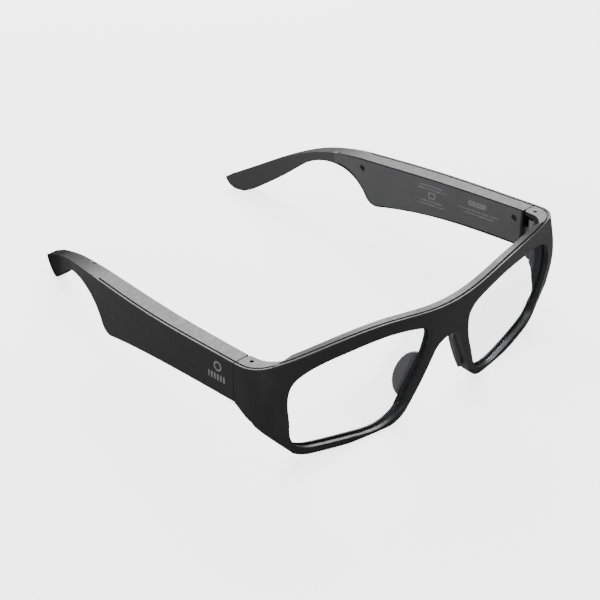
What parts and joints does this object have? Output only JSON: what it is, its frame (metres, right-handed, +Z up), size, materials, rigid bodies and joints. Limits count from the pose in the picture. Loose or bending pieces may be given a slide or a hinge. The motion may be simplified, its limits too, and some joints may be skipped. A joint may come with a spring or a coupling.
{
  "type": "smart glasses",
  "caption": "Wrap-front spectacles with clear lenses and thick folding temples that hold a circuit board, battery, speaker and touch film behind a screwed inner cover.",
  "frame": {"origin": "middle of the footprint of the opened glasses, on the surface they stand on", "axes": "+X to the wearer's left, +Y from the front back along the temples, +Z up"},
  "size_m": [0.142, 0.1642, 0.0455],
  "materials": {
    "frame_plastic": "satin moulded nylon",
    "cover_plastic": "fine matt",
    "pad_plastic": "soft matt",
    "clear_lens": "clear polished",
    "pin_steel": "turned",
    "hinge_steel": "satin",
    "screw_steel": "dark plated",
    "battery_pouch": "foil",
    "board_green": "solder mask",
    "chip_black": "moulded",
    "speaker_body": "moulded",
    "mesh_steel": "woven",
    "mic_can": "drawn can",
    "sensor_film": "polyimide film",
    "antenna_strip": "etched strip",
    "contact_plate": "gold plated"
  },
  "bodies": {
    "front": {"front_frame": "frame_plastic", "lens_left": "clear_lens", "lens_right": "clear_lens", "nose_pad_left": "pad_plastic", "nose_pad_right": "pad_plastic", "hinge_pin_left": "pin_steel", "hinge_pin_right": "pin_steel"},
    "temple_left": {"hinge_tongue_left": "hinge_steel", "tongue_screws_left": "screw_steel", "temple_shell_left": "frame_plastic", "temple_cover_left": "cover_plastic", "cover_screws_left": "screw_steel", "battery_left": "battery_pouch", "main_board_left": "board_green", "radio_chip_left": "chip_black", "speaker_left": "speaker_body", "speaker_mesh_left": "mesh_steel", "microphone_left": "mic_can", "touch_sensor_left": "sensor_film", "antenna_left": "antenna_strip", "charge_contacts_left": "contact_plate"},
    "temple_right": {"hinge_tongue_right": "hinge_steel", "tongue_screws_right": "screw_steel", "temple_shell_right": "frame_plastic", "temple_cover_right": "cover_plastic", "cover_screws_right": "screw_steel", "battery_right": "battery_pouch", "main_board_right": "board_green", "radio_chip_right": "chip_black", "speaker_right": "speaker_body", "speaker_mesh_right": "mesh_steel", "microphone_right": "mic_can", "touch_sensor_right": "sensor_film", "antenna_right": "antenna_strip", "charge_contacts_right": "contact_plate"}
  },
  "joints": [
    {"name": "fold_left", "type": "hinge", "parent": "front", "child": "temple_left", "pos_m": [0.0665, -0.05884, 0.031], "axis": [0, 0, 1], "range_deg": [0, 82.5]},
    {"name": "fold_right", "type": "hinge", "parent": "front", "child": "temple_right", "pos_m": [-0.0665, -0.05884, 0.031], "axis": [0, 0, -1], "range_deg": [0, 65]}
  ]
}
